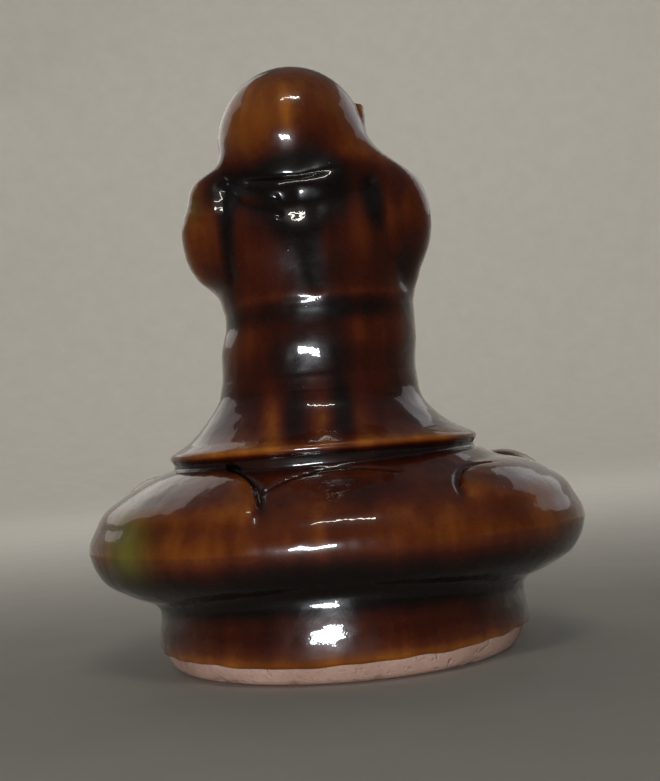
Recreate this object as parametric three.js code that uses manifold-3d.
// A hollow glazed-clay souvenir figurine: a bald figure in a sashed coat, sitting cross-legged on a plinth.
// Every node is one clay piece as the potter makes it. The pieces are luted together with slip, and one
// glaze firing fixes them, so nothing moves. Millimetres, +Z up, the figure faces -Y, its left is towards +X.
// The origin is at the middle of the foot, on the surface that the figurine stands on.
import * as THREE from "three";
import { mergeVertices } from "three/addons/utils/BufferGeometryUtils.js";
import Module from "manifold-3d";

const wasm = await Module();
wasm.setup();

// ---------- driving dimensions ----------
const LUTE = 0.3; // the slip layer between two clay pieces
const WALL = 4.6; // thickness of the hollow pieces
const SPARE = 1.2; // the clay left beyond that wall in the plinth and the seat
const ROUND = 30; // facets round a turned piece

const FOOT = { radius: 34.6, height: 3.3, flare: 1.6, ring: 5.4 };
const PLINTH = { radius: 37.2, waist: 36.1, height: 9.9 };
const LEGS = { halfWidth: 36.6, halfDepth: 26.8, across: 13.4, up: 11.7 };
// The creases that end the hip roll, in degrees round the seat from the figure's left; tuck is their overlap.
const HIP = { leftCrease: 67, rightCrease: 129, tuck: 12 };
const SEAT = { bottom: 34.6, inWidth: 6.6, inDepth: 2.8, below: 0.7 }; // in from the legs, below their tops
// over: from the legs' tops to the hem. lip: how far its edge turns under. tuck: in from the hem to the fold
// that rests on the seat. press: how far that fold is squeezed up between the legs.
const SKIRT = { hem: 30.6, over: 2.7, lip: 1.4, waist: 19.9, height: 15, tuck: 3.6, press: 1 };
const SASH = { belly: 20.3, height: 14.3, shrink: 0.9 };
const JACKET = { lip: 19.9, chest: 18.2, shoulder: 15, height: 22.1, lipHeight: 1.6 };
const HOLLOW = { roof: 7.6, dome: 8 }; // roof: the clay left over the hollow
const BODY_DEPTH = 0.84; // front-to-back share of the body's width
const LEAN = 1.2; // degrees that the body leans to its left on the seat
const SHIFT = 0.6; // how far the body is set to the figure's left of the plinth's middle
const HEAD = { x: 1.1, y: -1, across: 15.1, depth: 15.6, up: 15.3, sunk: 2.2, turn: 12 }; // sunk: in jacket
const EAR = { forward: 14, out: 0.1, drop: -0.6, thick: 1.9, long: 3.2, tall: 4.9 };
const COLLAR = { radius: 12.2, thick: 2.3, drop: 0.4, tip: 7, behind: 0.6, depth: 0.96 };
// A shoulder reaches from just outside the collar's radius to outside the chest.
const SHOULDER = { in: 1.3, out: 7.1, y: 0.8, drop: 4.4, depth: 7.4, up: 10.4 };
// The elbow and bend are past the chest's side and the wrist is past the hand. drop and behind are for all
// three: how far below the jacket's top, and how far behind the chest's front.
const FOREARM = {
  radius: 5,
  elbow: 1.4,
  bend: -2.8,
  wrist: 7.9,
  drop: [10.2, 12, 12.2],
  behind: [13.8, 3.5, -1.1],
};
// What sits on the arms and the front: out, forward and proud are how far it stands off what it is pressed on,
// and drop is how far it hangs below the top of the jacket or, for the knot and its tails, of the sash.
const CUFF = { radius: 5.5, out: 3.6, length: 1 };
const HAND = { x: 2.7, forward: 5.6, across: 5, depth: 4.3, up: 4.3, over: 0.6 };
const LAPEL = { x: [9.2, 5.2, -1.6], out: [3.4, 1.5, 2.4], drop: [1.4, 10.6, 20.2], across: 2.5, up: 1.3 };
const KNOT = { across: 4.6, depth: 3.1, up: 3.7, drop: 8, proud: 1 };
const TAIL = { drop: 11, end: 3.8, start: 2.8, spread: 5.4, across: 2.5, up: 1.3, proud: 1 }; // end: above the hem
const ANKLE = { radius: 5.4, out: 5.2, length: 3.4 };
const SHOE = { across: 9.4, depth: 5.2, up: 4.8, x: 14.6, forward: 7.6, lift: 0.3, turn: 15 };

// ---------- heights, each from the piece below, and the seat's oval ----------
const plinthTop = FOOT.height + LUTE + PLINTH.height;
const legMiddle = plinthTop + LEGS.up;
const legTop = legMiddle + LEGS.up;
const seatTop = legTop - SEAT.below;
const seatHalfWidth = LEGS.halfWidth - SEAT.inWidth;
const seatHalfDepth = LEGS.halfDepth - SEAT.inDepth;
const hem = legTop + SKIRT.over;
const skirtTop = hem + SKIRT.height;
const sashTop = skirtTop + LUTE + SASH.height;
const jacketTop = sashTop + LUTE + JACKET.height;
const headMiddle = jacketTop - HEAD.sunk + HEAD.up;

const bodyFront = -SASH.belly * BODY_DEPTH;
const chestFront = -JACKET.chest * BODY_DEPTH;

const rad = THREE.MathUtils.degToRad;
const point = (p) => new THREE.Vector3(...p);

// ---------- solids ----------
// A closed geometry as a solid that can be joined and cut.
function solid(geometry) {
  const g = geometry.index ? geometry.toNonIndexed() : geometry.clone();
  g.deleteAttribute("normal");
  g.deleteAttribute("uv");
  const merged = mergeVertices(g, 1e-4);
  return new wasm.Manifold(
    new wasm.Mesh({
      numProp: 3,
      vertProperties: new Float32Array(merged.getAttribute("position").array),
      triVerts: new Uint32Array(merged.index.array),
    }),
  );
}

function geometryOf(made) {
  const m = made.getMesh();
  const g = new THREE.BufferGeometry();
  const xyz = new Float32Array(m.numVert * 3);
  for (let i = 0; i < m.numVert; i++) {
    xyz.set(m.vertProperties.subarray(i * m.numProp, i * m.numProp + 3), i * 3);
  }
  g.setAttribute("position", new THREE.BufferAttribute(xyz, 3));
  g.setIndex(new THREE.BufferAttribute(new Uint32Array(m.triVerts), 1));
  g.computeVertexNormals();
  return g;
}

const cut = (made, ...cutters) => cutters.reduce((left, c) => left.subtract(c), made);

// The biggest of the bodies that a cut leaves: the crumbs beside it are wiped off with the sponge.
function main(made) {
  return made.decompose().reduce((a, b) => (a.volume() > b.volume() ? a : b));
}

// A wheel-turned piece about Z from [radius, height] pairs, squeezed front to back.
function turned(profile, depth = 1) {
  const g = new THREE.LatheGeometry(profile.map(([r, z]) => new THREE.Vector2(r, z)), ROUND);
  return g.rotateX(Math.PI / 2).scale(1, depth, 1);
}

// Points on a smooth outline through a few [radius, height] pairs.
function smooth(pairs, count) {
  const curve = new THREE.SplineCurve(pairs.map(([r, z]) => new THREE.Vector2(r, z)));
  return curve.getPoints(count).map((p) => [Math.max(p.x, 0), p.y]);
}

function ellipsoid(at, across, depth, up, grow = 0, sides = 14) {
  const g = new THREE.SphereGeometry(1, sides, Math.round(sides * 0.64)).rotateX(Math.PI / 2);
  return g.scale(across + grow, depth + grow, up + grow).translate(...at);
}

// A clay roll with round ends: a capsule bent along a curve. sizeAt(share) gives its half-thickness
// [across, up], where up is towards faceUp.
function roll(curve, sizeAt, grow = 0, steps = 10, sides = 12, faceUp = [0, 0, 1]) {
  const length = curve.getLength();
  const g = new THREE.CapsuleGeometry(1, length, 3, sides, steps);
  const places = g.getAttribute("position");
  for (let i = 0; i < places.count; i++) {
    const at = new THREE.Vector3().fromBufferAttribute(places, i);
    const share = THREE.MathUtils.clamp(at.y / length + 0.5, 0, 1);
    const [across, up] = sizeAt(share).map((size) => size + grow);
    const along = curve.getTangentAt(share);
    const side = along.clone().cross(point(faceUp)).normalize();
    const top = side.clone().cross(along);
    const past = (at.y - (share - 0.5) * length) * Math.min(across, up);
    const place = curve.getPointAt(share).addScaledVector(along, past);
    place.addScaledVector(side, at.x * across).addScaledVector(top, at.z * up);
    places.setXYZ(i, place.x, place.y, place.z);
  }
  return g;
}

// ---------- base ----------
const footInner = FOOT.radius - FOOT.ring;

function footRing() {
  const { radius, height, flare } = FOOT;
  const outline = [
    [footInner, 0],
    [radius, 0],
    [radius + flare * 0.5, height * 0.3],
    [radius + flare, height],
    [footInner, height],
    [footInner, 0],
  ];
  return solid(turned(outline));
}

function plinth() {
  const bottom = FOOT.height + LUTE;
  const { radius, waist } = PLINTH;
  const side = smooth(
    [
      [FOOT.radius + FOOT.flare, bottom],
      [radius, bottom + 1.6],
      [waist + 0.3, bottom + 5],
      [waist, plinthTop],
    ],
    6,
  );
  const inner = radius - WALL - SPARE;
  return solid(turned([...side, [inner, plinthTop], [inner, bottom], side[0]]));
}

// ---------- crossed legs ----------
// A place on the oval that the legs follow round the seat, at so many degrees from the figure's left.
function round(degrees, out = 0, lift = 0) {
  const a = rad(degrees);
  const x = (LEGS.halfWidth + out) * Math.cos(a);
  const y = (LEGS.halfDepth + out) * Math.sin(a);
  return new THREE.Vector3(x, y, legMiddle + lift);
}

function oval(from, to, ends = []) {
  const steps = Math.ceil(Math.abs(to - from) / 15);
  const places = [];
  for (let i = 0; i <= steps; i++) {
    places.push(round(from + ((to - from) * i) / steps));
  }
  return new THREE.CatmullRomCurve3([...places, ...ends]);
}

// The fat part of a trouser leg narrows over its last stretch to the ankle.
function trouser(share) {
  const fat = 1 - 0.42 * THREE.MathUtils.smoothstep(share, 0.74, 1);
  return [LEGS.across * fat, LEGS.up * fat];
}

// The left shin crosses in front of the right one, so the left trouser leg ends further forward and lower.
const leftEnd = new THREE.Vector3(1.5, -LEGS.halfDepth - 4.6, legMiddle - 4);
const rightEnd = new THREE.Vector3(-8.5, -LEGS.halfDepth + 0.2, legMiddle - 0.4);
const legCurves = {
  left: oval(HIP.leftCrease - 14, -62, [leftEnd]),
  right: oval(HIP.rightCrease + 14, 240, [rightEnd]),
};
const hipCurve = oval(HIP.leftCrease - HIP.tuck, HIP.rightCrease + HIP.tuck);
const hipSize = () => [LEGS.across * 0.96, LEGS.up * 0.97];

// What lies below the plinth's top is left out of everything that sits on it.
const ground = solid(new THREE.BoxGeometry(140, 140, 40).translate(0, 0, plinthTop + LUTE - 20));

function legPieces() {
  const leftLeg = (grow) => solid(roll(legCurves.left, trouser, grow, 12));
  const rightLeg = (grow) => solid(roll(legCurves.right, trouser, grow, 12));
  const hip = (grow) => solid(roll(hipCurve, hipSize, grow, 6));
  const shoeForward = -LEGS.halfDepth - SHOE.forward;
  const shoeHeight = plinthTop + LUTE + SHOE.up + SHOE.lift;
  // side is the side of the body that the shoe's toe points to.
  const shoe = (side, grow) => {
    const g = ellipsoid([0, 0, 0], SHOE.across, SHOE.depth, SHOE.up, grow);
    return solid(g.rotateZ(rad(side * SHOE.turn)).translate(side * SHOE.x, shoeForward, shoeHeight));
  };
  const heading = new THREE.Vector3(-SHOE.x, shoeForward, shoeHeight).sub(leftEnd).normalize();
  const stocking = (grow) => {
    const from = leftEnd.clone().addScaledVector(heading, ANKLE.out);
    const line = new THREE.LineCurve3(from, from.clone().addScaledVector(heading, ANKLE.length));
    return solid(roll(line, () => [ANKLE.radius, ANKLE.radius], grow, 1));
  };
  const left = leftLeg(LUTE);
  const right = rightLeg(LUTE);
  const pieces = {
    left_leg: cut(leftLeg(0), ground),
    right_leg: cut(rightLeg(0), ground, left),
    hip_roll: cut(hip(0), ground, left, right),
    left_shoe: cut(shoe(-1, 0), left, right, ground),
    right_shoe: cut(shoe(1, 0), left, right, ground),
    left_stocking: cut(stocking(0), left, right, shoe(-1, LUTE), ground),
  };
  return { pieces, all: [left, right, hip(LUTE), shoe(-1, LUTE), shoe(1, LUTE), stocking(LUTE)] };
}

// The plinth carries on up between the legs as a drum, which narrows to the oval that the skirt sits on.
function seat(legs) {
  const low = plinthTop + LUTE;
  const { bottom } = SEAT;
  const drumOutline = [[0, low], [bottom, low], [bottom, low + 3], [seatHalfDepth, seatTop], [0, seatTop]];
  const drum = solid(turned(drumOutline));
  return cut(main(cut(drum.add(seatOval(low, seatTop)), ...legs)), hollow(0));
}

// The oval that fills the seat between the legs, from one height to another.
function seatOval(from, to) {
  const outline = [[0, from], [seatHalfWidth, from], [seatHalfWidth, to], [0, to]];
  return solid(turned(outline, seatHalfDepth / seatHalfWidth));
}

// ---------- the hollow that runs up from the foot to the chest ----------
function hollow(from) {
  const narrow = LEGS.halfWidth - LEGS.across - WALL - SPARE;
  const depth = (LEGS.halfDepth - LEGS.across - WALL) / narrow;
  const waist = SKIRT.waist - WALL;
  const chest = JACKET.chest - WALL;
  const roof = jacketTop - HOLLOW.roof;
  const outline = [
    [0, from],
    [narrow, from],
    [narrow, seatTop - WALL],
    [waist, skirtTop],
    [waist, sashTop],
    [chest, roof - HOLLOW.dome],
    [chest / 2, roof],
    [0, roof],
  ];
  return solid(turned(outline, depth));
}

// ---------- body, modelled upright about Z in the frame that leans ----------
const inBody = (height) => height - seatTop;

function atBody(outline) {
  return outline.map(([r, height]) => [r, inBody(height)]);
}

function skirtShape(grow) {
  const { lip, waist, height, tuck } = SKIRT;
  const wide = SKIRT.hem;
  const flare = smooth(
    [
      [wide, hem],
      [wide - 0.8, hem + lip],
      [wide * 0.83, hem + height * 0.33],
      [waist + 1.2, hem + height * 0.64],
      [waist, skirtTop],
    ],
    9,
  );
  const under = seatTop - 4;
  const outline = [[0, under], [wide - tuck, under], [wide - 1.2, hem - lip], ...flare, [0, skirtTop]];
  const skirt = solid(turned(atBody(outline.map(([r, z]) => [r > 0 ? r + grow : 0, z])), BODY_DEPTH));
  return skirt.add(seatOval(inBody(under), inBody(seatTop) + SKIRT.press));
}

function sashShape(grow) {
  const bottom = skirtTop + LUTE;
  const { belly, shrink } = SASH;
  const side = smooth(
    [
      [SKIRT.waist, bottom],
      [belly, (bottom + sashTop) / 2],
      [belly - shrink * 0.4, sashTop - 2.4],
      [belly - shrink * 2, sashTop],
    ],
    6,
  );
  const outline = [[0, bottom], ...side.map(([r, z]) => [r + grow, z]), [0, sashTop]];
  return solid(turned(atBody(outline), BODY_DEPTH));
}

function jacketShape(grow) {
  const { lip, chest, shoulder, lipHeight } = JACKET;
  const bottom = sashTop + LUTE;
  const top = jacketTop;
  const side = smooth(
    [
      [lip, bottom + lipHeight * 0.4],
      [lip - 0.3, bottom + lipHeight],
      [chest + 0.5, bottom + lipHeight * 2.4],
      [chest, (bottom + top) / 2],
      [chest - 0.6, top - 7],
      [shoulder, top - 2.6],
      [shoulder * 0.5, top],
    ],
    10,
  );
  const under = [[0, bottom - grow], [lip - 1 + grow, bottom - grow]];
  const over = side.map(([r, z]) => [r + grow, z + grow]);
  return solid(turned(atBody([...under, ...over, [0, top + grow]]), BODY_DEPTH));
}

function headShape(grow, at = [HEAD.x, HEAD.y, inBody(headMiddle)]) {
  return solid(ellipsoid(at, HEAD.across, HEAD.depth, HEAD.up, grow, 24));
}

// The arm's path from elbow to wrist. side is 1 for the figure's left and -1 for its right.
function forearm(side) {
  const { elbow, bend, wrist, drop, behind } = FOREARM;
  return [JACKET.chest + elbow, JACKET.chest + bend, HAND.x + wrist].map((x, i) => {
    return new THREE.Vector3(side * x, chestFront + behind[i], inBody(jacketTop - drop[i]));
  });
}

function armShape(side, grow) {
  const { y, drop, depth, up } = SHOULDER;
  const inner = COLLAR.radius + SHOULDER.in;
  const outer = JACKET.chest + SHOULDER.out;
  const middle = [(side * (inner + outer)) / 2, y, inBody(jacketTop - drop)];
  const upper = solid(ellipsoid(middle, (outer - inner) / 2, depth, up, grow));
  const path = new THREE.CatmullRomCurve3(forearm(side));
  return upper.add(solid(roll(path, () => [FOREARM.radius, FOREARM.radius], grow, 4)));
}

// The collar is a turned roll, dropped over the neck hole and tipped up at the back.
function collarShape(grow) {
  const section = new THREE.Path().absarc(COLLAR.radius, 0, COLLAR.thick + grow, 0, 2 * Math.PI).getPoints(4);
  const ring = turned(section.map((p) => [p.x, p.y]), COLLAR.depth).rotateX(rad(COLLAR.tip));
  return solid(ring.translate(HEAD.x, HEAD.y + COLLAR.behind, inBody(jacketTop - COLLAR.drop)));
}

function cuffShape(side, grow) {
  const wrist = forearm(side)[2];
  const heading = new THREE.Vector3(-side * 0.8, -0.6, 0);
  const from = wrist.clone().addScaledVector(heading, CUFF.out);
  const line = new THREE.LineCurve3(from, from.clone().addScaledVector(heading, CUFF.length));
  return solid(roll(line, () => [CUFF.radius, CUFF.radius], grow, 1));
}

// The figure's left hand lies a little higher, over its right one.
function handShape(side, grow) {
  const { x, forward, across, depth, up, over } = HAND;
  const wrist = forearm(side)[2];
  return solid(ellipsoid([side * x, wrist.y - forward, wrist.z + side * over], across, depth, up, grow));
}

// The front of a turned piece at a distance to the side of its middle.
function frontAt(radius, depth, x) {
  return -depth * Math.sqrt(radius ** 2 - x ** 2);
}

function lapelShape(side, grow) {
  const [high, middle, low] = LAPEL.x;
  const fronts = [
    HEAD.y + COLLAR.behind + frontAt(COLLAR.radius, COLLAR.depth, high - HEAD.x),
    frontAt(JACKET.chest, BODY_DEPTH, middle),
    frontAt(JACKET.chest, BODY_DEPTH, low),
  ];
  const places = LAPEL.x.map((x, i) => {
    return new THREE.Vector3(side * x, fronts[i] - LAPEL.out[i], inBody(jacketTop - LAPEL.drop[i]));
  });
  const path = new THREE.CatmullRomCurve3(places);
  return solid(roll(path, () => [LAPEL.across, LAPEL.up], grow, 5, 8, [0, -1, 0.2]));
}

function knotShape(grow) {
  const { across, depth, up, proud } = KNOT;
  return solid(ellipsoid([0, bodyFront - proud, inBody(sashTop - KNOT.drop)], across, depth, up, grow));
}

function tailShape(side, grow) {
  const top = sashTop - TAIL.drop;
  const end = hem + TAIL.end;
  const path = new THREE.CatmullRomCurve3([
    new THREE.Vector3(side * TAIL.start, bodyFront - TAIL.proud, inBody(top)),
    new THREE.Vector3(side * TAIL.spread * 0.7, bodyFront - TAIL.proud, inBody((top + end) / 2 + 1)),
    new THREE.Vector3(side * TAIL.spread, -SKIRT.hem * BODY_DEPTH * 0.85, inBody(end)),
  ]);
  return solid(roll(path, () => [TAIL.across, TAIL.up], grow, 5, 8, [0, -1, 0.3]));
}

// Each piece is cut back from the pieces that are made before it, which it is pressed on to.
function bodyPieces(legs) {
  const leaned = new THREE.Matrix4().makeRotationY(rad(LEAN)).setPosition(SHIFT, 0, seatTop);
  const intoBody = (made) => solid(geometryOf(made).applyMatrix4(leaned.clone().invert()));
  const deck = new THREE.BoxGeometry(140, 140, 60).translate(0, 0, seatTop + LUTE - 30);
  const below = [...legs, solid(deck)].map(intoBody);
  const bore = intoBody(hollow(0));
  const head = headShape(LUTE);
  const clothes = [skirtShape(LUTE), sashShape(LUTE), jacketShape(LUTE)];
  const arms = [armShape(1, LUTE), armShape(-1, LUTE)];
  const cuffs = [cuffShape(1, LUTE), cuffShape(-1, LUTE)];
  const hands = [handShape(1, LUTE), handShape(-1, LUTE)];
  const dressed = [...clothes, ...arms, ...cuffs, ...hands, head];
  const collar = collarShape(LUTE);
  const knot = knotShape(LUTE);
  return {
    coat_skirt: cut(skirtShape(0), ...below, bore),
    waist_sash: cut(sashShape(0), bore),
    jacket: cut(jacketShape(0), bore, head),
    collar: cut(collarShape(0), ...clothes, ...arms, head),
    left_arm: cut(armShape(1, 0), ...clothes, head),
    right_arm: cut(armShape(-1, 0), ...clothes, head),
    left_cuff: cut(cuffShape(1, 0), ...clothes, ...arms),
    right_cuff: cut(cuffShape(-1, 0), ...clothes, ...arms, cuffs[0]),
    left_hand: cut(handShape(1, 0), ...clothes, ...arms, ...cuffs),
    right_hand: cut(handShape(-1, 0), ...clothes, ...arms, ...cuffs, hands[0]),
    left_lapel: cut(lapelShape(1, 0), ...dressed, collar),
    right_lapel: cut(lapelShape(-1, 0), ...dressed, collar, lapelShape(1, LUTE)),
    sash_knot: cut(knotShape(0), ...clothes),
    left_sash_tail: cut(tailShape(1, 0), ...clothes, ...below, knot),
    right_sash_tail: cut(tailShape(-1, 0), ...clothes, ...below, knot),
  };
}

// ---------- materials ----------
const glaze = new THREE.MeshStandardMaterial({ color: 0x5a2609, roughness: 0.12, metalness: 0 });
const glazeDark = new THREE.MeshStandardMaterial({ color: 0x35120a, roughness: 0.1, metalness: 0 });
const bisque = new THREE.MeshStandardMaterial({ color: 0xc79a86, roughness: 0.85, metalness: 0 });

function piece(name, made, material) {
  const mesh = new THREE.Mesh(geometryOf(made), material);
  mesh.name = name;
  return mesh;
}

// ---------- assembly ----------
const figurine = new THREE.Group();
figurine.add(piece("foot_ring", footRing(), bisque), piece("plinth", plinth(), glazeDark));

const legs = legPieces();
figurine.add(piece("seat_core", seat(legs.all), bisque));
for (const [name, made] of Object.entries(legs.pieces)) {
  figurine.add(piece(name, main(made), glaze));
}

const body = new THREE.Group();
body.position.set(SHIFT, 0, seatTop);
body.rotation.y = rad(LEAN);
for (const [name, made] of Object.entries(bodyPieces(legs.all))) {
  body.add(piece(name, main(made), glaze));
}
figurine.add(body);

// The head is turned to its right on the collar, and its ears are pressed on.
const headGroup = new THREE.Group();
headGroup.position.set(HEAD.x, HEAD.y, inBody(headMiddle));
headGroup.rotation.z = -rad(HEAD.turn);
headGroup.add(piece("head", headShape(0, [0, 0, 0]), glaze));
for (const [name, side] of [["left_ear", 1], ["right_ear", -1]]) {
  const ear = ellipsoid([0, 0, 0], EAR.thick, EAR.long, EAR.tall, 0, 10);
  ear.translate(side * (HEAD.across + EAR.out), 0, EAR.drop).rotateZ(rad(-side * EAR.forward));
  headGroup.add(piece(name, main(cut(solid(ear), headShape(LUTE, [0, 0, 0]))), glaze));
}
body.add(headGroup);

export default figurine;
